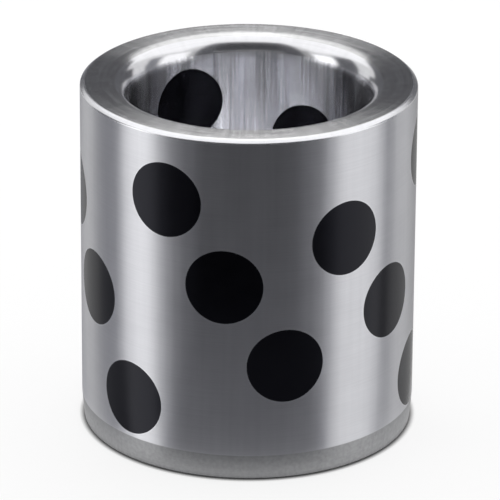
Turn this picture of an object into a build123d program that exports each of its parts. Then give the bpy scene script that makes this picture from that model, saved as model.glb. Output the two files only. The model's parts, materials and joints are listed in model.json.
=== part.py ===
from build123d import *
import math
import os

# Graphite plugged bushing, millimetres and degrees.
#
# A plain steel sleeve whose wall is drilled right through in slanting rows. Solid graphite
# plugs are pressed into the holes, then the bore and the outside are ground, so every plug
# ends flush with both round surfaces. The sleeve stands on its foot, the end that enters the
# housing first. The origin is the centre of the foot face, and +Z runs up the bore.

# ---- Driving sizes: sleeve ---------------------------------------------------------------

bore_diameter = 30
wall = 6
length = 45

bore_lead_radius = 2.8  # rounded mouth of the bore at the top end
top_edge_chamfer = 0.5  # 45 degrees, round the outside of the top end
least_end_land = 0.4  # flat ring that stays between mouth and chamfer

foot_lead_length = 3.3  # slow taper that starts the press fit
foot_lead_depth = 0.3  # taken off the radius by that taper
foot_edge_chamfer = 0.2
foot_bore_chamfer = 0.5

# ---- Driving sizes: graphite plugs --------------------------------------------------------

hole_diameter = 9.6
plug_clearance = 0.0  # on the diameter: plugs are pressed in and seat line to line
top_land = 1.0  # steel between the rounded mouth and the highest ring of holes
foot_land = 0.3  # steel between the foot taper and the lowest ring of holes
least_web = 1.8  # steel between two holes of a row, at the bore, where they are closest

turn_per_ring = 10.5  # each row slants by this much from one ring to the next
foot_gap = 1.33  # the lowest ring stands this many pitches under its neighbour

# One row starts at each of these places: angle of its top hole from +X, and how far the row
# lies above its rings. Odd rows start on the second ring, so holes never stand side by side.
rows = [
    (121.5, 0.3),
    (184.5, 0.2),
    (241.0, -0.1),
    (305.0, -0.2),
    (356.0, 0.4),
    (60.0, 0.7),
]

# ---- Sizes that follow --------------------------------------------------------------------

bore_radius = bore_diameter / 2
outer_radius = bore_radius + wall
hole_radius = hole_diameter / 2
plug_radius = (hole_diameter - plug_clearance) / 2
mouth_radius = min(bore_lead_radius, wall - top_edge_chamfer - least_end_land)

# Two holes of a row are two rings apart, and the pitch keeps the web between them.
row_chord = bore_diameter * math.sin(math.radians(turn_per_ring))
least_pitch = math.sqrt((hole_diameter + least_web) ** 2 - row_chord**2) / 2
top_ring_height = length - mouth_radius - top_land - hole_radius
foot_ring_height = foot_lead_length + foot_land + hole_radius
ring_span = top_ring_height - foot_ring_height
ring_count = int(ring_span / least_pitch - foot_gap) + 2
ring_pitch = ring_span / (ring_count - 2 + foot_gap)
ring_heights = [top_ring_height - ring * ring_pitch for ring in range(ring_count - 1)]
ring_heights.append(foot_ring_height)


def drill_plane(angle, height):
    """Plane on the outside of the sleeve, square to the wall, with its normal pointing out."""
    outward = Vector(1, 0, 0).rotate(Axis.Z, angle)
    centre = outward * outer_radius + Vector(0, 0, height)
    return Plane(origin=centre, x_dir=Vector(0, 0, 1), z_dir=outward)


hole_planes = []
for row, (start_angle, lift) in enumerate(rows):
    first_ring = row % 2
    for ring in range(first_ring, ring_count, 2):
        angle = start_angle + turn_per_ring * (ring - first_ring)
        hole_planes.append(drill_plane(angle, ring_heights[ring] + lift))

os.makedirs("parts", exist_ok=True)

# ---- Ground form: the outline that sleeve and plugs share ---------------------------------

with BuildPart() as ground_form:
    with BuildSketch(Plane.XZ):
        with BuildLine():
            Polyline(
                (bore_radius, 0),
                (outer_radius - foot_lead_depth, 0),
                (outer_radius, foot_lead_length),
                (outer_radius, length),
                (bore_radius, length),
                close=True,
            )
        make_face()
    revolve(axis=Axis.Z)

    top_rims = ground_form.edges().group_by(Axis.Z)[-1].sort_by(SortBy.RADIUS)
    fillet(top_rims[0], radius=mouth_radius)
    chamfer(top_rims[-1], length=top_edge_chamfer)

    foot_rims = ground_form.edges().group_by(Axis.Z)[0].sort_by(SortBy.RADIUS)
    chamfer(foot_rims[0], length=foot_bore_chamfer)
    chamfer(foot_rims[-1], length=foot_edge_chamfer)

# ---- Steel sleeve: the ground form, cross drilled ----------------------------------------

with BuildPart() as steel_sleeve:
    add(ground_form.part)
    with Locations(*hole_planes):
        # As deep as the axis, so that each hole goes through the near wall only.
        Hole(radius=hole_radius, depth=outer_radius)

steel_sleeve.part.label = "steel_sleeve"
export_step(steel_sleeve.part, "parts/steel_sleeve.step")

# ---- Graphite plugs: round bars, cut back to the ground form at both ends -----------------

for number, hole_plane in enumerate(hole_planes, start=1):
    with BuildPart() as graphite_plug:
        with BuildSketch(hole_plane):
            Circle(plug_radius)
        # From the axis to well outside, so that only the ground form sets where it ends.
        extrude(amount=outer_radius, both=True)
        add(ground_form.part, mode=Mode.INTERSECT)

    name = f"graphite_plug_{number:02d}"
    graphite_plug.part.label = name
    export_step(graphite_plug.part, f"parts/{name}.step")
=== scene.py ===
# %% [markdown]
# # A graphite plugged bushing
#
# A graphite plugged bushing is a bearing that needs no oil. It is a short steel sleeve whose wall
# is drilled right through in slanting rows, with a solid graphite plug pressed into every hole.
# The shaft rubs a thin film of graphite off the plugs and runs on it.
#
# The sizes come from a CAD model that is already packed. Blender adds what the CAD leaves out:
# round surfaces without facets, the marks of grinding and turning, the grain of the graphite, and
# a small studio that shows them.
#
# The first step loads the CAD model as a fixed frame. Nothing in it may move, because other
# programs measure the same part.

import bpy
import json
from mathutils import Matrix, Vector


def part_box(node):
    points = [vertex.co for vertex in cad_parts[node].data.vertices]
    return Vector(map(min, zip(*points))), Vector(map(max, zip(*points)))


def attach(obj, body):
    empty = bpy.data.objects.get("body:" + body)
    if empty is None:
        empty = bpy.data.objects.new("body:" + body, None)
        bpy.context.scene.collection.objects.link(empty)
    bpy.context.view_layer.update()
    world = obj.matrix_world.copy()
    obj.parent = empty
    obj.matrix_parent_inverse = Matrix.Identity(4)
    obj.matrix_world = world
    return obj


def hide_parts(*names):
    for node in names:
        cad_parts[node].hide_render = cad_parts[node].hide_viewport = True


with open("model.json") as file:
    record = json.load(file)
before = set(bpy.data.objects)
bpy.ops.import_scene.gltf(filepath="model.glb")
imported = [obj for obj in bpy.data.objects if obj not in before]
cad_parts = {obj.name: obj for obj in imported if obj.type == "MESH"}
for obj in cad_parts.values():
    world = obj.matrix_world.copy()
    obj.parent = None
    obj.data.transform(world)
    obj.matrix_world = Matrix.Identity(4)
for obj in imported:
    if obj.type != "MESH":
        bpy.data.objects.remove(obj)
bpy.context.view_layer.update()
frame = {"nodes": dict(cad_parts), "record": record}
print("CAD nodes:", len(frame["nodes"]))

# %% [markdown]
# ## Sizes
#
# A bushing is bought by three numbers: bore, outside diameter and length. The record of the packed
# part carries the two radii, and the box of the sleeve gives the length. Reading them is safer
# than typing them again, because the dressed part then follows the CAD model.
#
# The small forms, such as the rounded mouth and the taper at the foot, aren't in the record. They
# are repeated here in millimetres, as they stand on the drawing.

# %% Read the main sizes
import json
import math

import bpy
from mathutils import Matrix, Vector

MM = 0.001
mounts = {mount["name"]: mount for mount in frame["record"]["mounts"]}
bore_radius = mounts["bore"]["dims"]["r_mm"] * MM
outer_radius = mounts["outside"]["dims"]["r_mm"] * MM
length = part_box("steel_sleeve")[1].z
print(f"bore {bore_radius * 2 / MM:.1f} mm, outside {outer_radius * 2 / MM:.1f} mm")
print(f"length {length / MM:.1f} mm")

# %% Name the small forms
mouth_radius = 2.8 * MM  # rounded mouth of the bore
top_edge_chamfer = 0.5 * MM  # round the outside of the top end
foot_lead_length = 3.3 * MM  # slow taper that starts the press fit
foot_lead_depth = 0.3 * MM  # taken off the radius by that taper
foot_edge_chamfer = 0.2 * MM
foot_bore_chamfer = 0.5 * MM
print(f"flat ring between mouth and chamfer: "
      f"{(outer_radius - bore_radius - mouth_radius - top_edge_chamfer) / MM:.1f} mm")

# %% [markdown]
# ## Where the plugs are
#
# Every plug is a CAD node of its own. The centre of its mesh tells where its hole was drilled: the
# direction from the axis, and the height above the foot. Some plugs are cut back by the rounded
# mouth, which hardly moves their centre. The hole is as wide as a plug is high.
#
# A centre that is weighted by volume isn't pulled aside by uneven facets, as a plain average of the
# corners would be. It adds up the small pyramids between the origin and each triangle.

# %% Find the centre of a closed mesh
def centre_of(node):
    """Centre of a closed mesh, weighted by volume."""
    total = 0.0
    moment = Vector()
    mesh = node.data
    mesh.calc_loop_triangles()
    for triangle in mesh.loop_triangles:
        a, b, c = (mesh.vertices[index].co for index in triangle.vertices)
        volume = a.dot(b.cross(c))
        total += volume
        moment += (a + b + c) * volume / 4
    return moment / total


# %% Find the holes
plug_nodes = sorted(name for name in frame["nodes"] if name.startswith("graphite_plug"))
plug_low, plug_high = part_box(plug_nodes[0])
hole_radius = (plug_high.z - plug_low.z) / 2
hole_centres = []
for name in plug_nodes:
    centre = centre_of(frame["nodes"][name])
    outward = Vector((centre.x, centre.y, 0)).normalized()
    hole_centres.append(outward * outer_radius + Vector((0, 0, centre.z)))
print(len(hole_centres), "holes of diameter", round(hole_radius * 2 / MM, 2), "mm")

# %% [markdown]
# ## The camera
#
# The bushing is seen from a little above, through a long lens, so its sides look parallel. The
# framing comes from the camera's place and tilt alone, and the lens shift stays at zero.

# %% Add an object to the scene
def add_object(name, data):
    item = bpy.data.objects.new(name, data)
    bpy.context.scene.collection.objects.link(item)
    return item


# %% Set up the camera
camera_place = Vector((0, -542.85, 248.66)) * MM
camera_tilt = math.radians(90 - 22.653)
camera_turn = math.radians(-0.0273)
camera_roll = math.radians(0.3626)
camera_lens = 336.3  # in millimetres, as for a sensor that is 36 mm wide
nearest_seen = 10 * MM

camera_data = bpy.data.cameras.new("camera")
camera_data.lens = camera_lens
camera_data.sensor_width = 36
camera_data.clip_start = nearest_seen
camera = add_object("camera", camera_data)
camera.matrix_world = (
    Matrix.Translation(camera_place)
    @ Matrix.Rotation(camera_turn, 4, "Z")
    @ Matrix.Rotation(camera_tilt, 4, "X")
    @ Matrix.Rotation(camera_roll, 4, "Z")
)
bpy.context.scene.camera = camera
print(f"the camera is {camera_place.length:.2f} m from the foot of the bushing")

# %% [markdown]
# ## Helpers for node trees
#
# Shapes and finishes are both made of nodes here. A few helpers keep every tree short to read: one
# adds a node with a title and its inputs, others calculate with numbers and with vectors, mix two
# colours, or tell how far a place lies from the axis. The last ones start a material, and make a
# group with named sockets.

# %% Feed a node and add a node
NODE_STEP = 190


def feed(tree, node, feeds):
    """Gives each named input a plain value, or links it to another node's socket."""
    for name, value in feeds.items():
        if isinstance(value, bpy.types.NodeSocket):
            tree.links.new(value, node.inputs[name])
        else:
            node.inputs[name].default_value = value


def add_step(tree, kind, title, feeds=None, **settings):
    """Adds a titled node with its settings and its inputs, and returns it."""
    node = tree.nodes.new(kind)
    node.label = title
    node.location = (NODE_STEP * len(tree.nodes), 0)
    for name, value in settings.items():
        setattr(node, name, value)
    feed(tree, node, feeds or {})
    return node


# %% Calculate with nodes
def calculate(tree, title, operation, *values):
    """One Math node, given its operation and up to three numbers or sockets."""
    feeds = dict(enumerate(values))
    return add_step(tree, "ShaderNodeMath", title, feeds, operation=operation).outputs[0]


def calculate_vector(tree, title, operation, *values, output=0):
    """One Vector Math node, given its operation and its vectors or sockets."""
    feeds = dict(enumerate(values))
    node = add_step(tree, "ShaderNodeVectorMath", title, feeds, operation=operation)
    return node.outputs[output]


def scale_vector(tree, title, vector, factor):
    """A vector made longer or shorter."""
    feeds = {0: vector, "Scale": factor}
    return add_step(tree, "ShaderNodeVectorMath", title, feeds, operation="SCALE").outputs[0]


# %% Mix with nodes
def mix_numbers(tree, title, share, first, second):
    """First number at a share of 0, second number at 1."""
    feeds = {0: share, 2: first, 3: second}
    return add_step(tree, "ShaderNodeMix", title, feeds, data_type="FLOAT").outputs[0]


def mix_colours(tree, title, share, first, second):
    """First colour at a share of 0, second colour at 1."""
    feeds = {0: share, 6: first, 7: second}
    return add_step(tree, "ShaderNodeMix", title, feeds, data_type="RGBA").outputs[2]


# %% Take a place apart and put it together
def take_apart(tree, place):
    """The sockets X, Y and Z of a place."""
    return add_step(tree, "ShaderNodeSeparateXYZ", "its parts", {"Vector": place}).outputs


def put_together(tree, title, **parts):
    """A vector from the parts X, Y and Z that are given. The others are 0."""
    return add_step(tree, "ShaderNodeCombineXYZ", title, parts).outputs[0]


def off_the_axis(tree, parts):
    """How a place lies off the axis, as a level vector and as a distance."""
    across = put_together(tree, "off the axis", X=parts["X"], Y=parts["Y"])
    return across, calculate_vector(tree, "radius", "LENGTH", across, output="Value")


# %% Start a material
def start_material(name, bare=False):
    """A new material and its node tree, which is empty if the material is to be bare."""
    material = bpy.data.materials.new(name)
    material.use_nodes = True
    if bare:
        material.node_tree.nodes.clear()
    return material, material.node_tree


# %% Make a group with named sockets
FLOAT, INTEGER, VECTOR = "NodeSocketFloat", "NodeSocketInt", "NodeSocketVector"
GEOMETRY, OBJECT = "NodeSocketGeometry", "NodeSocketObject"


def make_group(name, kind, inputs, outputs):
    """A node group, the sockets of its input node, and its output node."""
    group = bpy.data.node_groups.new(name, kind)
    for title, (socket_type, value) in inputs.items():
        socket = group.interface.new_socket(title, in_out="INPUT", socket_type=socket_type)
        if value is not None:
            socket.default_value = value
    for title, socket_type in outputs.items():
        group.interface.new_socket(title, in_out="OUTPUT", socket_type=socket_type)
    start = group.nodes.new("NodeGroupInput")
    end = group.nodes.new("NodeGroupOutput")
    return group, start.outputs, end


# %% [markdown]
# ## Effects that several finishes share
#
# A steel sleeve is one piece of metal with many finishes, because each surface was cut by another
# tool. The tools leave the same few kinds of mark, only finer or coarser: lines round the axis,
# marks along it, clouds of handling and dirt, grain, and edges worn bright. Each kind is a node
# group that is built once. A finish places the groups it needs and gives them its own values.
#
# The marks follow the round form, so the first group turns a place into a distance from the axis,
# a direction round it and a height. It reads Object coordinates, which are the same in every view.
# Lines and marks are both noise that is stretched: it changes at one rate round the axis and at
# another up it.

# %% Place on the sleeve
def make_round_place_group():
    group, start, end = make_group(
        "place on the sleeve", "ShaderNodeTree",
        {"Vector": (VECTOR, None)},
        {"Radius": FLOAT, "Direction": VECTOR, "Height": FLOAT},
    )
    parts = take_apart(group, start["Vector"])
    across, radius = off_the_axis(group, parts)
    feed(group, end, {
        "Radius": radius,
        "Direction": calculate_vector(group, "direction", "NORMALIZE", across),
        "Height": parts["Z"],
    })
    return group


round_place = make_round_place_group()
print("made the group", round_place.name)


# %% Place a shared group
def place_group(tree, group, **feeds):
    """Places a shared group in a tree. Feeds are given by socket name, with _ for a space."""
    feeds = {name.replace("_", " "): value for name, value in feeds.items()}
    return add_step(tree, "ShaderNodeGroup", group.name, feeds, node_tree=group).outputs


# %% Stretch a noise
def round_and_up(tree, place, round_rate, up_rate):
    """Where to look in the noise, with a rate round the axis and another up it."""
    turned = scale_vector(tree, "round the axis", place["Direction"], round_rate)
    climb = calculate(tree, "up the axis", "MULTIPLY", place["Height"], up_rate)
    climb = put_together(tree, "as a vector", Z=climb)
    return calculate_vector(tree, "where in the noise", "ADD", turned, climb)


# %% [markdown]
# ### Lines round the axis
#
# A turning tool and a grinding wheel both leave fine lines that run round the part. Noise does the
# same when it changes fast along the height and the radius, and slowly round the axis. It needs
# four numbers, direction, height and radius, so it is the 4D kind. The lines aren't endless: they
# fade in and out a few times in each turn.

# %% Make the group for lines round the axis
def make_lines_group():
    group, start, end = make_group(
        "lines round the axis", "ShaderNodeTree",
        {
            "Vector": (VECTOR, None),
            "Lines per Metre": (FLOAT, 6000.0),
            "Breaks per Turn": (FLOAT, 2.0),
            "Detail": (FLOAT, 3.0),
        },
        {"Line": FLOAT},
    )
    place = place_group(group, round_place, Vector=start["Vector"])
    stretched = round_and_up(group, place, start["Breaks per Turn"], start["Lines per Metre"])
    reach = calculate(group, "fast along the radius", "MULTIPLY", place["Radius"],
                      start["Lines per Metre"])
    noise = add_step(group, "ShaderNodeTexNoise", "lines",
                     {"Vector": stretched, "W": reach, "Scale": 1.0, "Detail": start["Detail"]},
                     noise_dimensions="4D")
    feed(group, end, {"Line": noise.outputs["Fac"]})
    return group


lines_group = make_lines_group()
print("made the group", lines_group.name)

# %% [markdown]
# ### Marks along the axis
#
# A honing stone and the press that pushes a sleeve into its seat leave marks along the axis. They
# are the same noise turned round: fast round the axis, slow along it.

# %% Make the group for marks along the axis
def make_marks_group():
    group, start, end = make_group(
        "marks along the axis", "ShaderNodeTree",
        {
            "Vector": (VECTOR, None),
            "Marks per Radian": (FLOAT, 20.0),
            "Breaks per Metre": (FLOAT, 40.0),
            "Detail": (FLOAT, 3.0),
        },
        {"Mark": FLOAT},
    )
    place = place_group(group, round_place, Vector=start["Vector"])
    stretched = round_and_up(group, place, start["Marks per Radian"], start["Breaks per Metre"])
    noise = add_step(group, "ShaderNodeTexNoise", "marks",
                     {"Vector": stretched, "Scale": 1.0, "Detail": start["Detail"]})
    feed(group, end, {"Mark": noise.outputs["Fac"]})
    return group


marks_group = make_marks_group()
print("made the group", marks_group.name)

# %% [markdown]
# ### Clouds and grain
#
# Hands, oil and storage leave soft clouds in a finish. A cut that isn't ground keeps a grain. Both
# are plain noise, and only the size tells them apart, so one group makes both.

# %% Make the group for clouds and grain
def make_clouds_group():
    group, start, end = make_group(
        "clouds and grain", "ShaderNodeTree",
        {
            "Vector": (VECTOR, None),
            "Size": (FLOAT, 0.002),
            "Detail": (FLOAT, 3.0),
            "Contrast": (FLOAT, 1.0),
        },
        {"Cloud": FLOAT},
    )
    scale = calculate(group, "how many in a metre", "DIVIDE", 1.0, start["Size"])
    noise = add_step(group, "ShaderNodeTexNoise", "clouds",
                     {"Vector": start["Vector"], "Scale": scale, "Detail": start["Detail"]})
    centred = calculate(group, "about zero", "SUBTRACT", noise.outputs["Fac"], 0.5)
    cloud = calculate(group, "contrast", "MULTIPLY_ADD", centred, start["Contrast"], 0.5)
    feed(group, end, {"Cloud": cloud})
    return group


clouds_group = make_clouds_group()
print("made the group", clouds_group.name)

# %% [markdown]
# ### Worn edges
#
# Handling rubs an edge before it rubs a face. The Bevel node looks round a point and gives the
# direction that the surface would have with its edges rounded off. On a face that is the true
# direction, and near an edge it turns away. How far it turns is the wear.

# %% Make the group for worn edges
def make_wear_group():
    group, start, end = make_group(
        "worn edges", "ShaderNodeTree",
        {"Width": (FLOAT, 0.0002), "Strength": (FLOAT, 3.0)},
        {"Wear": FLOAT},
    )
    rounded_off = add_step(group, "ShaderNodeBevel", "edges rounded off",
                           {"Radius": start["Width"]}, samples=4).outputs["Normal"]
    true_way = add_step(group, "ShaderNodeNewGeometry", "as it is").outputs["Normal"]
    same = calculate_vector(group, "how far they agree", "DOT_PRODUCT", rounded_off, true_way,
                            output="Value")
    apart = calculate(group, "how far they part", "SUBTRACT", 1.0, same)
    wear = add_step(group, "ShaderNodeMath", "wear", {0: apart, 1: start["Strength"]},
                    operation="MULTIPLY", use_clamp=True).outputs[0]
    feed(group, end, {"Wear": wear})
    return group


wear_group = make_wear_group()
print("made the group", wear_group.name)

# %% [markdown]
# ## The finishes of the steel
#
# All the steel is one metal, so one function makes every finish. It adds up the marks to one tone,
# from 0 to 1. The tone picks a colour between a dark and a light steel, and changes the roughness
# and the relief a little, because a mark is a small groove as well as a change of colour. Worn
# edges come out lighter and smoother.
#
# Lines that are too fine to see still stretch every reflection across them, which is what makes
# ground steel look like steel. The shader calls that anisotropic. Its tangent runs round the axis,
# and a quarter turn lays the stretch along the axis on the walls and along the radius on the face.

# %% Add up the marks
def add_up(tree, parts):
    """Adds marks to a tone of 0.5. Each part is a title, a mark about 0.5 and its weight."""
    tone = 0.5 - 0.5 * sum(weight for title, mark, weight in parts)
    for title, mark, weight in parts:
        tone = calculate(tree, title, "MULTIPLY_ADD", mark, weight, tone)
    return tone


# %% Make a steel finish
QUARTER_TURN = 0.25
RELIEF_DEPTH = 0.02 * MM
WORN_STEEL = (0.8, 0.805, 0.83, 1)
WORN_SMOOTHER = -0.12


def make_steel(name, dark, light, roughness, spread, stretch, lines, marks, clouds, relief):
    """A steel finish. Lines, marks and clouds are each a fineness and a weight in the tone."""
    material, tree = start_material(name)
    shader = tree.nodes["Principled BSDF"]
    place = add_step(tree, "ShaderNodeTexCoord", "place").outputs["Object"]
    line = place_group(tree, lines_group, Vector=place, Lines_per_Metre=lines[0])["Line"]
    mark = place_group(tree, marks_group, Vector=place, Marks_per_Radian=marks[0])["Mark"]
    cloud = place_group(tree, clouds_group, Vector=place, Size=clouds[0])["Cloud"]
    wear = place_group(tree, wear_group)["Wear"]
    tone = add_up(tree, [("lines", line, lines[1]), ("marks", mark, marks[1]),
                         ("clouds", cloud, clouds[1])])
    steel = mix_colours(tree, "steel", tone, (*dark, 1), (*light, 1))
    rough = calculate(tree, "roughness", "MULTIPLY_ADD", tone, spread, roughness - spread / 2)
    bump = add_step(tree, "ShaderNodeBump", "relief",
                    {"Height": tone, "Strength": relief, "Distance": RELIEF_DEPTH})
    tangent = add_step(tree, "ShaderNodeTangent", "round the axis",
                       direction_type="RADIAL", axis="Z")
    feed(tree, shader, {
        "Base Color": mix_colours(tree, "worn steel", wear, steel, WORN_STEEL),
        "Roughness": calculate(tree, "worn smoother", "MULTIPLY_ADD", wear, WORN_SMOOTHER, rough),
        "Metallic": 1.0,
        "Anisotropic": stretch,
        "Anisotropic Rotation": QUARTER_TURN,
        "Tangent": tangent.outputs[0],
        "Normal": bump.outputs[0],
    })
    print(f"{name}: roughness {roughness}, stretch {stretch}")
    return material


# %% [markdown]
# The outside is ground to its fit on a wheel, which leaves very fine lines. The bore is honed
# along and round the axis, and is the smoothest surface. Its light steel is paler than real steel:
# a painted brightening of the bore. Its strong marks along the axis are partly honing marks and
# partly painted reflections: light and dark streaks that stand in for what the bore mirrors. The
# rounded mouth is polished, so that the shaft slides in. The flat face and the broken edge are
# turned and left so. The taper at the foot is turned as well, but the wheel never touches it, so
# it stays matt, and the wheel runs out over a narrow band where the two meet.
#
# A finish stays wholly below a roughness of 0.27 or wholly above it. The denoiser of Cycles treats
# smoother surfaces as mirrors, and a finish on both sides shows a speckled line where it changes.

# %% Name the finishes
ground_outside = make_steel(
    "ground outside", (0.55, 0.552, 0.58), (0.69, 0.692, 0.72),
    roughness=0.36, spread=0.08, stretch=0.95,
    lines=(9000.0, 0.8), marks=(24.0, 0.6), clouds=(0.004, 0.5), relief=0.03,
)
# painted light: pale steel brightens the bore; strong axial marks are partly painted reflections
honed_bore_painted_streaks = make_steel(
    "honed bore with painted streaks", (0.55, 0.552, 0.58), (0.92, 0.922, 0.96),
    roughness=0.22, spread=0.03, stretch=1.0,
    lines=(6000.0, 0.3), marks=(60.0, 2.0), clouds=(0.003, 0.3), relief=0.03,
)
polished_mouth = make_steel(
    "polished mouth", (0.56, 0.56, 0.58), (0.68, 0.68, 0.70),
    roughness=0.18, spread=0.03, stretch=0.6,
    lines=(5000.0, 0.6), marks=(30.0, 0.5), clouds=(0.002, 0.5), relief=0.03,
)
turned_face = make_steel(
    "turned face", (0.45, 0.45, 0.455), (0.64, 0.64, 0.645),
    roughness=0.23, spread=0.05, stretch=1.0,
    lines=(2500.0, 1.3), marks=(45.0, 0.7), clouds=(0.0012, 0.8), relief=0.05,
)
broken_edge = make_steel(
    "broken edge", (0.58, 0.582, 0.605), (0.72, 0.722, 0.745),
    roughness=0.25, spread=0.03, stretch=0.3,
    lines=(6000.0, 0.6), marks=(30.0, 0.4), clouds=(0.002, 0.5), relief=0.03,
)
wheel_run_out = make_steel(
    "wheel run-out", (0.43, 0.432, 0.45), (0.58, 0.582, 0.60),
    roughness=0.48, spread=0.06, stretch=0.6,
    lines=(6000.0, 0.7), marks=(30.0, 0.4), clouds=(0.0008, 0.8), relief=0.05,
)
matt_taper = make_steel(
    "matt taper", (0.33, 0.332, 0.34), (0.50, 0.502, 0.51),
    roughness=0.6, spread=0.08, stretch=0.2,
    lines=(5000.0, 0.5), marks=(40.0, 0.4), clouds=(0.00045, 1.2), relief=0.12,
)

# %% [markdown]
# ## The graphite
#
# Graphite is almost black, yet it shines like a pencil line where it is rubbed. It isn't a metal,
# so the Fresnel effect does the rest by itself: black when seen square on, grey at a low angle. The
# grain of the pressed powder shows as fine specks, some of them open pores. The wheel that ground
# the sleeve went over the plugs too, so they carry the same lines, but fainter.

# %% Name the look of the graphite
DARK_POWDER = (0.0002, 0.0002, 0.0007, 1)
LIGHT_POWDER = (0.0018, 0.0018, 0.0026, 1)
RUBBED_RIM = (0.006, 0.006, 0.008, 1)
SHEEN_TINT = (0.8, 0.81, 1.0, 1)
WHEEL_LINES = 9000.0  # in a metre, as on the outside of the sleeve
grain_size = 0.12 * MM
cloud_size = 1.8 * MM
rim_width = 0.15 * MM
least_roughness = 0.2
roughness_spread = 0.06


# %% Make the graphite
def make_graphite():
    material, tree = start_material("graphite")
    shader = tree.nodes["Principled BSDF"]
    place = add_step(tree, "ShaderNodeTexCoord", "place").outputs["Object"]
    line = place_group(tree, lines_group, Vector=place, Lines_per_Metre=WHEEL_LINES)["Line"]
    grain = place_group(tree, clouds_group, Vector=place, Size=grain_size, Detail=2.0)["Cloud"]
    cloud = place_group(tree, clouds_group, Vector=place, Size=cloud_size, Detail=4.0)["Cloud"]
    wear = place_group(tree, wear_group, Width=rim_width, Strength=2.0)["Wear"]
    tone = add_up(tree, [("lines", line, 0.5), ("grain", grain, 1.6), ("clouds", cloud, 1.0)])
    powder = mix_colours(tree, "graphite", tone, DARK_POWDER, LIGHT_POWDER)
    bump = add_step(tree, "ShaderNodeBump", "relief",
                    {"Height": tone, "Strength": 0.1, "Distance": RELIEF_DEPTH})
    feed(tree, shader, {
        "Base Color": mix_colours(tree, "rubbed rim", wear, powder, RUBBED_RIM),
        "Roughness": calculate(tree, "roughness", "MULTIPLY_ADD", tone, roughness_spread,
                               least_roughness),
        "IOR": 1.375,
        "Specular Tint": SHEEN_TINT,
        "Normal": bump.outputs[0],
    })
    return material


graphite = make_graphite()
print("made the material", graphite.name)

# %% [markdown]
# ## The section of the sleeve
#
# A sleeve is a round part, so its whole form lies in one section: the outline that is left when a
# saw cuts one wall through. Its corners come from the sizes above. On the real part no corner is
# quite sharp. A small rounding catches the light as a thin bright line, and without it a render
# looks like a drawing. So the outline is a list of corners, each with its own rounding. A corner
# that turns further gets more points, so no arc looks cornered and none has points to spare.

# %% Round the corners of an outline
STEP_ANGLE = math.radians(5)


def rounded(corners):
    """A closed outline with an arc in place of each corner, given as (x, y, radius)."""
    outline = []
    for index, (x, y, size) in enumerate(corners):
        here = Vector((x, y))
        back = (Vector(corners[index - 1][:2]) - here).normalized()
        ahead = (Vector(corners[(index + 1) % len(corners)][:2]) - here).normalized()
        half = back.angle(ahead) / 2
        centre = here + (back + ahead).normalized() * size / math.sin(half)
        first = here + back * size / math.tan(half) - centre
        last = here + ahead * size / math.tan(half) - centre
        turn = first.angle_signed(last)
        steps = math.ceil(abs(turn) / STEP_ANGLE)
        for step in range(steps + 1):
            outline.append(centre + Matrix.Rotation(-turn * step / steps, 2) @ first)
    return outline


# %% Draw the section
foot_edge = 0.05 * MM  # roundings of the corners
sharp_edge = 0.12 * MM
top_edge = 0.8 * MM
outer_edge = 0.3 * MM
taper_blend = 8 * MM
top_edge_width = 1.1 * top_edge_chamfer  # a hand broke this edge a little flat
top_edge_drop = 0.84 * top_edge_chamfer

taper_radius = outer_radius - foot_lead_depth
taper_start = taper_radius + foot_lead_depth * foot_edge_chamfer / foot_lead_length
corners = [
    (bore_radius + foot_bore_chamfer, 0, sharp_edge),
    (taper_radius - foot_edge_chamfer, 0, foot_edge),
    (taper_start, foot_edge_chamfer, foot_edge),
    (outer_radius, foot_lead_length, taper_blend),
    (outer_radius, length - top_edge_drop, outer_edge),
    (outer_radius - top_edge_width, length, top_edge),
    (bore_radius, length, mouth_radius),
    (bore_radius, foot_bore_chamfer, sharp_edge),
]
section_points = rounded(corners)
print(len(section_points), "points in the section")

# %% [markdown]
# The sweep below lays a section's Y downwards, so the outline is turned over first. Drawing it
# backwards as well keeps the faces pointing outwards.

# %% Make the section a curve
section_data = bpy.data.curves.new("section", "CURVE")
section_data.dimensions = "3D"
spline = section_data.splines.new("POLY")
spline.points.add(len(section_points) - 1)
for point, (radius, height) in zip(spline.points, reversed(section_points)):
    point.co = (radius, -height, 0, 1)
spline.use_cyclic_u = True
section = add_object("section", section_data)
print("the section is a closed curve of", len(spline.points), "points")

# %% [markdown]
# ## Growing a shape from points
#
# The sleeve and the plugs both follow the same rule: something happens at each of the holes. That
# is work for Geometry Nodes. A tree gets the hole centres as loose points and its sizes as inputs,
# and gives back a mesh. The result is then made plain, so that nothing live is left on the piece.

# %% Give a tree its inputs
def set_input(modifier, name, value):
    """Sets one input of a Geometry Nodes modifier, by the identifier of its socket."""
    for item in modifier.node_group.interface.items_tree:
        if item.item_type == "SOCKET" and item.in_out == "INPUT" and item.name == name:
            modifier[item.identifier] = value
            return
    raise KeyError(name)


# %% Run a tree on the hole centres
def grow(name, points, tree, values):
    """Runs a tree on loose points and returns the result as a plain mesh object."""
    seed = bpy.data.meshes.new(name + " seed")
    seed.from_pydata([tuple(point) for point in points], [], [])
    carrier = add_object(name + " seed", seed)
    modifier = carrier.modifiers.new("tree", "NODES")
    modifier.node_group = tree
    for title, value in values.items():
        set_input(modifier, title, value)
    evaluated = carrier.evaluated_get(bpy.context.evaluated_depsgraph_get())
    mesh = bpy.data.meshes.new_from_object(evaluated)
    mesh.name = name
    carrier.modifiers.remove(modifier)
    bpy.data.objects.remove(carrier)
    return add_object(name, mesh)


# %% [markdown]
# ## Steps that both trees share
#
# A drill and a plug start as a bar that stands on Z. To lie square to the wall it turns a quarter
# about Y, then about Z to the heading of its hole. The other shared step is the shading: round
# walls are smooth, and an edge stays crisp where two faces meet at more than a small angle.

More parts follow.
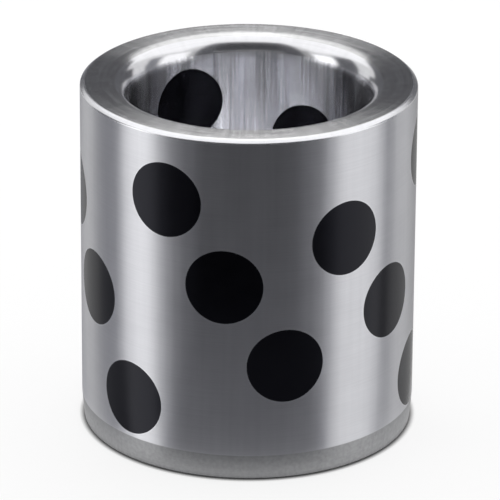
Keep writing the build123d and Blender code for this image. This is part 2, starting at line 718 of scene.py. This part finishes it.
# %% Turn a bar towards its hole
def turn_to_hole(tree, heading):
    """The rotation that lays a standing bar along the radius at a heading."""
    angles = put_together(tree, "down, then round", Y=math.pi / 2, Z=heading)
    return add_step(tree, "FunctionNodeEulerToRotation", "rotation", {"Euler": angles}).outputs[0]


def heading_of(tree, position):
    """Angle round the axis at which a point lies."""
    parts = take_apart(tree, position)
    return calculate(tree, "heading", "ARCTAN2", parts["Y"], parts["X"])


# %% Shade round walls smooth and rims crisp
CRISP_ANGLE = math.radians(28)


def shade(tree, mesh):
    angle = add_step(tree, "GeometryNodeInputMeshEdgeAngle", "angle at the edge").outputs[0]
    soft = add_step(tree, "FunctionNodeCompare", "is it soft", {"A": angle, "B": CRISP_ANGLE},
                    operation="LESS_THAN").outputs[0]
    mesh = add_step(tree, "GeometryNodeSetShadeSmooth", "smooth walls",
                    {"Geometry": mesh}).outputs[0]
    return add_step(tree, "GeometryNodeSetShadeSmooth", "crisp rims",
                    {"Geometry": mesh, "Shade Smooth": soft}, domain="EDGE").outputs[0]


# %% [markdown]
# ## The sleeve
#
# The real sleeve is turned from a bar, cross drilled, plugged, and then ground inside and outside.
# The tree does the same. It sweeps the section once round the axis, along a circle so small that it
# has no size of its own. It puts a drill on every hole centre and cuts all of them away at once.
#
# Cutting in the exact way keeps each rim a clean curve. A circle of 720 steps bends half a degree
# at each step, so the outline of the part shows no corners even close up. The holes stand on whole
# half degrees too, and where a point of a drill nearly meets an edge of the wall, the cut leaves
# slivers that glint. So the swept wall is turned by a quarter of a step, away from all of them.

# %% Sweep the section
PATH_RADIUS = 0.001 * MM


def sweep(tree, start):
    """The section carried once round the axis."""
    outline = add_step(tree, "GeometryNodeObjectInfo", "section",
                       {"Object": start["Section"]}).outputs["Geometry"]
    path = add_step(tree, "GeometryNodeCurvePrimitiveCircle", "once round the axis",
                    {"Resolution": start["Segments"], "Radius": PATH_RADIUS}).outputs[0]
    wall = add_step(tree, "GeometryNodeCurveToMesh", "sweep",
                    {"Curve": path, "Profile Curve": outline}).outputs[0]
    part_step = calculate(tree, "quarter of a step", "DIVIDE", math.pi / 2, start["Segments"])
    angles = put_together(tree, "round the axis", Z=part_step)
    turn = add_step(tree, "FunctionNodeEulerToRotation", "small turn", {"Euler": angles}).outputs[0]
    return add_step(tree, "GeometryNodeTransform", "turned a little",
                    {"Geometry": wall, "Rotation": turn}).outputs[0]


# %% Drill the wall
def drills(tree, start):
    """One drill for each hole, longer than the wall is thick by an overrun at both ends."""
    wall = calculate(tree, "wall", "SUBTRACT", start["Outer Radius"], start["Bore Radius"])
    reach = calculate(tree, "drill length", "MULTIPLY_ADD", start["Overrun"], 2.0, wall)
    drill = add_step(tree, "GeometryNodeMeshCylinder", "drill",
                     {"Vertices": start["Hole Segments"], "Radius": start["Hole Radius"],
                      "Depth": reach}).outputs["Mesh"]
    middle = calculate(tree, "middle of the wall", "MULTIPLY", wall, -0.5)
    drill = add_step(tree, "GeometryNodeTransform", "drill in the wall",
                     {"Geometry": drill,
                      "Translation": put_together(tree, "inwards", Z=middle)}).outputs[0]
    place = add_step(tree, "GeometryNodeInputPosition", "hole centre").outputs[0]
    turn = turn_to_hole(tree, heading_of(tree, place))
    many = add_step(tree, "GeometryNodeInstanceOnPoints", "a drill at every hole",
                    {"Points": start["Geometry"], "Instance": drill, "Rotation": turn}).outputs[0]
    return add_step(tree, "GeometryNodeRealizeInstances", "real drills",
                    {"Geometry": many}).outputs[0]


# %% [markdown]
# Each finish covers a zone of the section, given by the range of its radius and of its height. The
# middle of a face tells which zone it is in. Where two zones overlap, the later one wins.

# %% Name the zones of the sleeve
face_skin = 0.02 * MM
taper_top = foot_lead_length - 0.14 * MM
run_out_top = foot_lead_length + 0.14 * MM
polish_start = 0.26 * MM
polish_depth = 1.9 * MM
bore_skin = 0.13 * MM
edge_width = top_edge_chamfer + 0.2 * MM
foot_band = outer_radius - 1 * MM  # well inside the taper, well outside the bore
zones = [
    # finish, lowest and highest radius, lowest and highest height
    (wheel_run_out, foot_band, outer_radius, taper_top, run_out_top),
    (matt_taper, foot_band, outer_radius, 0, taper_top),
    (turned_face, bore_radius, outer_radius, -face_skin, face_skin),
    (turned_face, bore_radius, outer_radius, length - polish_start, length + face_skin),
    (polished_mouth, bore_radius, bore_radius + mouth_radius, length - polish_depth,
     length - polish_start),
    (broken_edge, outer_radius - edge_width, outer_radius, length - edge_width,
     length - face_skin),
    (honed_bore_painted_streaks, 0, bore_radius + bore_skin, 0, length),
]
print(len(zones), "zones, and", ground_outside.name, "for the rest")


# %% Paint the zones
def is_between(tree, title, value, low, high):
    """1 where a value lies in a range, 0 elsewhere."""
    return calculate(tree, title, "COMPARE", value, (low + high) / 2, (high - low) / 2)


def paint(tree, mesh, finish, where=True):
    return add_step(tree, "GeometryNodeSetMaterial", finish.name,
                    {"Geometry": mesh, "Selection": where, "Material": finish}).outputs[0]


def paint_zones(tree, mesh):
    place = add_step(tree, "GeometryNodeInputPosition", "middle of the face").outputs[0]
    parts = take_apart(tree, place)
    _, radius = off_the_axis(tree, parts)
    mesh = paint(tree, mesh, ground_outside)
    for finish, low_radius, high_radius, low_height, high_height in zones:
        inside = is_between(tree, "in radius", radius, low_radius, high_radius)
        beside = is_between(tree, "in height", parts["Z"], low_height, high_height)
        mesh = paint(tree, mesh, finish, calculate(tree, "both", "MULTIPLY", inside, beside))
    return mesh


# %% Make the tree of the sleeve
def tree_of_sleeve():
    tree, start, end = make_group(
        "sleeve, swept and drilled", "GeometryNodeTree",
        {
            "Geometry": (GEOMETRY, None),
            "Section": (OBJECT, None),
            "Segments": (INTEGER, 720),
            "Hole Radius": (FLOAT, 0.005),
            "Hole Segments": (INTEGER, 128),
            "Bore Radius": (FLOAT, 0.015),
            "Outer Radius": (FLOAT, 0.021),
            "Overrun": (FLOAT, 0.003),
        },
        {"Geometry": GEOMETRY},
    )
    tree.is_modifier = True
    drilled = add_step(tree, "GeometryNodeMeshBoolean", "drilled",
                       {"Mesh 1": sweep(tree, start), "Mesh 2": drills(tree, start)},
                       operation="DIFFERENCE", solver="EXACT").outputs["Mesh"]
    feed(tree, end, {"Geometry": paint_zones(tree, shade(tree, drilled))})
    return tree


# %% Grow the sleeve
SEGMENTS_PER_TURN = 720
SEGMENTS_PER_HOLE = 128
drill_overrun = 3 * MM
sleeve = grow("sleeve", hole_centres, tree_of_sleeve(), {
    "Section": section,
    "Segments": SEGMENTS_PER_TURN,
    "Hole Radius": hole_radius,
    "Hole Segments": SEGMENTS_PER_HOLE,
    "Bore Radius": bore_radius,
    "Outer Radius": outer_radius,
    "Overrun": drill_overrun,
})
bpy.data.objects.remove(section)
print("sleeve:", len(sleeve.data.polygons), "faces,", len(sleeve.data.materials), "finishes")

# %% [markdown]
# ## The plugs
#
# A plug is pressed in as a plain bar and ground flush with both walls, so its two ends are shaped
# like saddles. The ends of a bar are flat, and no bevel makes a saddle. But each end lies on a
# round wall, so its distance from the axis follows from Pythagoras: a point that lies sideways by y
# touches a wall of radius R at the square root of R² - y². The tree moves every point of the bar
# there, then puts one plug in every hole.
#
# The hole centres lie on the outside, and the plugs are measured from the axis. So each point
# keeps its heading as an attribute before it moves in to the axis.

# %% Shape one plug
def wall_above(tree, title, radius, sideways):
    """Distance from the axis at which a round wall passes over a sideways place."""
    squared = calculate(tree, title + " squared", "MULTIPLY", radius, radius)
    left = calculate(tree, "less sideways squared", "SUBTRACT", squared, sideways)
    return calculate(tree, "height of the " + title, "SQRT", left)


def saddled_plug(tree, start):
    """A bar of length 1 whose ends are moved on to the two walls."""
    bar = add_step(tree, "GeometryNodeMeshCylinder", "bar",
                   {"Vertices": start["Segments"], "Side Segments": 1,
                    "Fill Segments": start["Rings"], "Radius": start["Plug Radius"],
                    "Depth": 1.0}, fill_type="TRIANGLE_FAN").outputs["Mesh"]
    place = add_step(tree, "GeometryNodeInputPosition", "point of the bar").outputs[0]
    parts = take_apart(tree, place)
    sideways = calculate(tree, "sideways squared", "MULTIPLY", parts["Y"], parts["Y"])
    inner = wall_above(tree, "bore", start["Bore Radius"], sideways)
    outer = wall_above(tree, "outside", start["Outer Radius"], sideways)
    end = calculate(tree, "inner or outer end", "ADD", parts["Z"], 0.5)
    reach = mix_numbers(tree, "from wall to wall", end, inner, outer)
    saddle = put_together(tree, "saddle", X=parts["X"], Y=parts["Y"], Z=reach)
    return add_step(tree, "GeometryNodeSetPosition", "both saddles",
                    {"Geometry": bar, "Position": saddle}).outputs[0]


# %% Put a plug in every hole
def plug_in_every_hole(tree, start, plug):
    hole = add_step(tree, "GeometryNodeInputPosition", "hole centre").outputs[0]
    marked = add_step(tree, "GeometryNodeStoreNamedAttribute", "keep the heading",
                      {"Geometry": start["Geometry"], "Name": "heading",
                       "Value": heading_of(tree, hole)},
                      data_type="FLOAT", domain="POINT").outputs[0]
    axis = put_together(tree, "on the axis", Z=take_apart(tree, hole)["Z"])
    points = add_step(tree, "GeometryNodeMeshToPoints", "move in to the axis",
                      {"Mesh": marked, "Position": axis}).outputs[0]
    heading = add_step(tree, "GeometryNodeInputNamedAttribute", "kept heading",
                       {"Name": "heading"}, data_type="FLOAT").outputs[0]
    many = add_step(tree, "GeometryNodeInstanceOnPoints", "a plug in every hole",
                    {"Points": points, "Instance": plug,
                     "Rotation": turn_to_hole(tree, heading)}).outputs[0]
    return add_step(tree, "GeometryNodeRealizeInstances", "real plugs",
                    {"Geometry": many}).outputs[0]


# %% Make the tree of the plugs
def tree_of_plugs():
    tree, start, end = make_group(
        "plugs, ground to both walls", "GeometryNodeTree",
        {
            "Geometry": (GEOMETRY, None),
            "Plug Radius": (FLOAT, 0.005),
            "Segments": (INTEGER, 128),
            "Rings": (INTEGER, 10),
            "Bore Radius": (FLOAT, 0.015),
            "Outer Radius": (FLOAT, 0.021),
        },
        {"Geometry": GEOMETRY},
    )
    tree.is_modifier = True
    plugged = plug_in_every_hole(tree, start, saddled_plug(tree, start))
    feed(tree, end, {"Geometry": paint(tree, shade(tree, plugged), graphite)})
    return tree


# %% Grow the plugs
RINGS_PER_END = 10
plugs = grow("graphite_plugs", hole_centres, tree_of_plugs(), {
    "Plug Radius": hole_radius,
    "Segments": SEGMENTS_PER_HOLE,
    "Rings": RINGS_PER_END,
    "Bore Radius": bore_radius,
    "Outer Radius": outer_radius,
})
print("plugs:", len(plugs.data.polygons), "faces")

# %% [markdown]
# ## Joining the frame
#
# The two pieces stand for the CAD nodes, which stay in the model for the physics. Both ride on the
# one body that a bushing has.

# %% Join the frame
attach(sleeve, "root")
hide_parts("steel_sleeve")
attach(plugs, "root")
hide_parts(*plug_nodes)
print("sleeve stands for 1 node, plugs for", len(plug_nodes))

# %% [markdown]
# ## The studio: floor and air
#
# Small metal parts are shown on white. The floor is white paper that glows a little for the camera,
# for mirrors and for glass, so that it shows white and metal shows it white too. The rest of it is
# plain grey paper, which keeps the shadow of the part. Close to the foot hardly any light gets
# under the part, and Ambient Occlusion darkens the glow there to a thin contact line: a contact
# shadow painted into the glow.

# %% Tell who looks
def seen_directly(tree):
    """1 for the camera, for mirrors and for glass, 0 for the light that falls on things."""
    path = add_step(tree, "ShaderNodeLightPath", "who looks").outputs
    seen = calculate(tree, "camera or mirror", "MAXIMUM", path["Is Camera Ray"],
                     path["Is Glossy Ray"])
    return calculate(tree, "or glass", "MAXIMUM", seen, path["Is Transmission Ray"])


# %% Lay the floor
WHITE = (1, 1, 1, 1)
floor_reach = 6.0
paper_grey = 0.3
paper_glow = 0.76
contact_reach = 0.8 * MM
contact_share = 0.5  # of the light still gets in where the contact line is black

floor_mesh = bpy.data.meshes.new("floor")
floor_corners = [(x * floor_reach, y * floor_reach, 0)
                 for x, y in ((-1, -1), (1, -1), (1, 1), (-1, 1))]
floor_mesh.from_pydata(floor_corners, [], [(0, 1, 2, 3)])
floor = add_object("floor", floor_mesh)
print("floor of", floor_reach * 2, "m")


# %% Make the paper
def make_paper():
    material, tree = start_material("paper", bare=True)
    # painted contact shadow: the glow is dimmed where Ambient Occlusion finds the part close by
    open_sky = add_step(tree, "ShaderNodeAmbientOcclusion", "light that gets in",
                        {"Distance": contact_reach}, samples=16).outputs["AO"]
    contact = add_step(tree, "ShaderNodeMapRange", "contact line",
                       {"Value": open_sky, "From Min": contact_share}).outputs[0]
    glow = calculate(tree, "glow", "MULTIPLY", seen_directly(tree), paper_glow)
    glow = calculate(tree, "glow where light gets in", "MULTIPLY", glow, contact)
    paper = add_step(tree, "ShaderNodeBsdfDiffuse", "paper",
                     {"Color": (paper_grey, paper_grey, paper_grey, 1)}).outputs[0]
    light = add_step(tree, "ShaderNodeEmission", "white",
                     {"Color": WHITE, "Strength": glow}).outputs[0]
    both = add_step(tree, "ShaderNodeAddShader", "both", {0: paper, 1: light}).outputs[0]
    add_step(tree, "ShaderNodeOutputMaterial", "out", {"Surface": both})
    return material


floor_mesh.materials.append(make_paper())
print("the floor shows white and keeps the shadow")

# %% [markdown]
# The air round the studio lights the part evenly from all sides. It is a little darker for that
# than it looks, because the soft lamp above adds its own light.

# %% Fill the air with light
air_light = 0.6
world = bpy.data.worlds.new("studio")
bpy.context.scene.world = world
world.use_nodes = True
tree = world.node_tree
tree.nodes.clear()
level = mix_numbers(tree, "level", seen_directly(tree), air_light, 1.0)
air = add_step(tree, "ShaderNodeBackground", "air", {"Color": WHITE, "Strength": level})
add_step(tree, "ShaderNodeOutputWorld", "out", {"Surface": air.outputs[0]})
print("air of level", air_light)

# %% [markdown]
# ## The studio: lamp and cards
#
# Polished metal has hardly any colour of its own. What is seen in it is the room, so a room is
# built for it: a soft lamp above, dark cards in front that draw the round wall, and pale cards at
# the sides. The cards here are seen in reflections only. They cast no shadow, and give no light to
# anything that isn't a mirror.
#
# Angles are counted from the front, in degrees to the right. A spot on the wall at some angle
# shows the room at twice that angle, which tells where the card for a strip of wall has to hang.

# %% Point out from the axis
def out_from_axis(angle):
    """Level direction at an angle from the front, in degrees."""
    return Vector((math.sin(math.radians(angle)), -math.cos(math.radians(angle)), 0))


def fan(first, last, step_angle):
    """Angles from the first to the last, about one step apart."""
    steps = max(2, round(abs(last - first) / step_angle))
    return [first + (last - first) * step / steps for step in range(steps + 1)]


# %% Hang a card
FLAG_TINT = (0.97, 0.98, 1.06, 1)
DARK_CARD = 0.5


def hang_card(name, corners, faces, level, first_level=None):
    """A glowing card that only mirrors see. A dark one is a little blue, like grey cloth.

    The first level, if given, is what shows in a mirror that sees the card with no other between.
    """
    mesh = bpy.data.meshes.new(name)
    mesh.from_pydata([tuple(corner) for corner in corners], [], faces)
    material, tree = start_material(name, bare=True)
    colour = FLAG_TINT if level < DARK_CARD else WHITE
    if first_level is not None:
        depth = add_step(tree, "ShaderNodeLightPath", "which mirror").outputs["Ray Depth"]
        deep = calculate(tree, "past the first mirror", "GREATER_THAN", depth, 1.5)
        level = mix_numbers(tree, "level by mirror", deep, first_level, level)
    glow = add_step(tree, "ShaderNodeEmission", "level", {"Color": colour, "Strength": level})
    add_step(tree, "ShaderNodeOutputMaterial", "out", {"Surface": glow.outputs[0]})
    mesh.materials.append(material)
    card = add_object(name, mesh)
    card.visible_camera = False
    card.visible_diffuse = False
    card.visible_transmission = False
    card.visible_shadow = False


# %% [markdown]
# A low card lies on the floor from the foot of the sleeve outwards and then stands up, as a sweep
# of cloth does. Each is laid out along the directions in which its strip of wall reflects, so one
# card fills one strip of the wall from the foot to the top. It has three parts with a level each:
# near the foot, further out, and upright. The wall sees the two on the floor, and the upright part
# is what the rounded mouth sees.

# %% Spread a low card
card_gap = 2.5 * MM
near_reach = 45 * MM
far_reach = 500 * MM
card_lift = 0.02 * MM


def spread_card(name, first, last, levels, top):
    """Three cards for the strip of wall between two angles, the last up to an elevation."""
    angles = fan(first, last, step_angle=1)
    rise = Vector((0, 0, far_reach * math.tan(math.radians(top))))
    rows = [[], [], [], []]
    for angle in angles:
        foot = out_from_axis(angle) * (outer_radius + card_gap) + Vector((0, 0, card_lift))
        away = out_from_axis(2 * angle)
        far = foot + away * far_reach
        for row, corner in zip(rows, (foot, foot + away * near_reach, far, far + rise)):
            row.append(corner)
    count = len(angles)
    faces = [(step, step + 1, count + step + 1, count + step) for step in range(count - 1)]
    for part, level, low, high in zip(("near", "far", "upright"), levels, rows, rows[1:]):
        hang_card(f"{name}, {part}", low + high, faces, level)


# %% Spread the low cards
low_cards = [
    # name, first and last angle of the strip, levels near, far and upright, elevation of the top
    ("front flag", -18, 18, (0.17, 0.035, 0.12), 28),
    ("front left flag", -28, -18, (0.16, 0.13, 0.13), 70),
    ("front right flag", 18, 27.5, (0.17, 0.14, 0.14), 70),
    ("left edge flag", -33, -28, (0.3, 0.3, 0.5), 45),
    ("left lamp", -46, -34, (1.2, 1.2, 1.9), 36),
    ("left grey card", -62.5, -47.5, (0.33, 0.33, 0.16), 41),
    ("left back card", -80, -62.5, (0.6, 0.6, 0.6), 2),
    ("left far card", -90, -80, (0.4, 0.4, 0.4), 2),
    ("right edge flag", 27.5, 31.5, (0.35, 0.35, 0.7), 45),
    ("right lamp", 31.5, 47, (0.88, 0.88, 1.6), 40),
    ("right slot", 52.5, 58, (0.22, 0.22, 0.3), 25),
    ("right grey card", 59, 73, (0.65, 0.65, 0.65), 5),
    ("right back card", 73, 86, (0.5, 0.5, 0.5), 5),
]
for card in low_cards:
    spread_card(*card)
print(len(low_cards), "low cards")

# %% [markdown]
# The flat face and the rounded mouth mirror what stands behind the part and above it. Those cards
# hang on a round wall.

# %% Hang cards on the wall
wall_distance = 620 * MM


def hang_on_wall(name, first, last, level, bottom, top):
    """A card on a round wall, between two angles and two elevations."""
    low, high = (wall_distance * math.tan(math.radians(angle)) for angle in (bottom, top))
    corners = []
    for angle in fan(first, last, step_angle=3):
        place = out_from_axis(angle) * wall_distance
        corners += [place + Vector((0, 0, low)), place + Vector((0, 0, high))]
    faces = [(corner, corner + 1, corner + 3, corner + 2)
             for corner in range(0, len(corners) - 2, 2)]
    hang_card(name, corners, faces, level)


cards_on_wall = [
    # name, first and last angle, level, elevation of the bottom and of the top
    ("high front flag", -36, 36, 0.08, 28, 70),
    ("right slot, upright", 96, 112, 0.3, 0, 36),
    ("right back flag", 134, 145, 0.12, 0, 25),
    ("back flag", 145, 209, 0.14, 0, 37),
    ("left back flag", 209, 218, 0.15, 0, 16),
    ("strip light", 170, 190, 2.3, 35, 65),
]
for card in cards_on_wall:
    hang_on_wall(*card)
print(len(cards_on_wall), "cards on the wall")

# %% [markdown]
# A look into the bore is passed from wall to wall four times before it comes out at the foot, and
# each wall takes about a quarter of the light. So a part that is shown like this stands on an open
# ring with light from below. The cards under the bore are that light, with dark gaps between. A
# look from high above reaches them over one wall only, and would be blinded. So the first mirror
# shows them as plain paper in the shade, and only the mirrors behind it show their full level.

# %% Light the bore from below
SHADED_PAPER = 0.6


def light_below(name, first, last, level):
    """A card on the floor inside the bore, between two angles."""
    lift = Vector((0, 0, card_lift * 2))
    corners = [lift]
    for angle in fan(first, last, step_angle=3):
        corners.append(out_from_axis(angle) * (bore_radius - card_lift) + lift)
    faces = [(0, step, step + 1) for step in range(1, len(corners) - 1)]
    hang_card(name, corners, faces, level, first_level=SHADED_PAPER)


cards_below = [
    ("front light below", -15, 45, 7.4),
    ("right dark below", 45, 165, 0.0),
    ("back light below", 165, 195, 2.6),
    ("left dark below", 195, 255, 0.0),
    ("left light below", 255, 285, 7.6),
    ("left low light below", 285, 315, 3.6),
    ("left edge below", 315, 345, 0.9),
]
for card in cards_below:
    light_below(*card)
print(len(cards_below), "cards under the bore")

# %% [markdown]
# The lamp is a large soft box overhead, a little behind the part. Its energy is worked out from its
# size, so that its face is as bright as its level says: 1 would look like white paper.

# %% Hang the soft box
lamp_level = 0.5
lamp_width, lamp_depth = 1.7, 1.35
lamp_place = (0, 0.44, 0.8)

lamp_data = bpy.data.lights.new("soft box", "AREA")
lamp_data.shape = "RECTANGLE"
lamp_data.size = lamp_width
lamp_data.size_y = lamp_depth
lamp_data.energy = lamp_level * math.pi * lamp_width * lamp_depth
lamp = add_object("soft box", lamp_data)
lamp.location = lamp_place
lamp.visible_camera = False
print(f"soft box of {lamp_data.energy:.1f} W")

# %% [markdown]
# ## Showing colours as they are written
#
# Blender's own view transform bends bright colours towards white. The plain one is called Standard.

# %% Choose the view
bpy.context.scene.view_settings.view_transform = "Standard"
print("view transform:", bpy.context.scene.view_settings.view_transform)
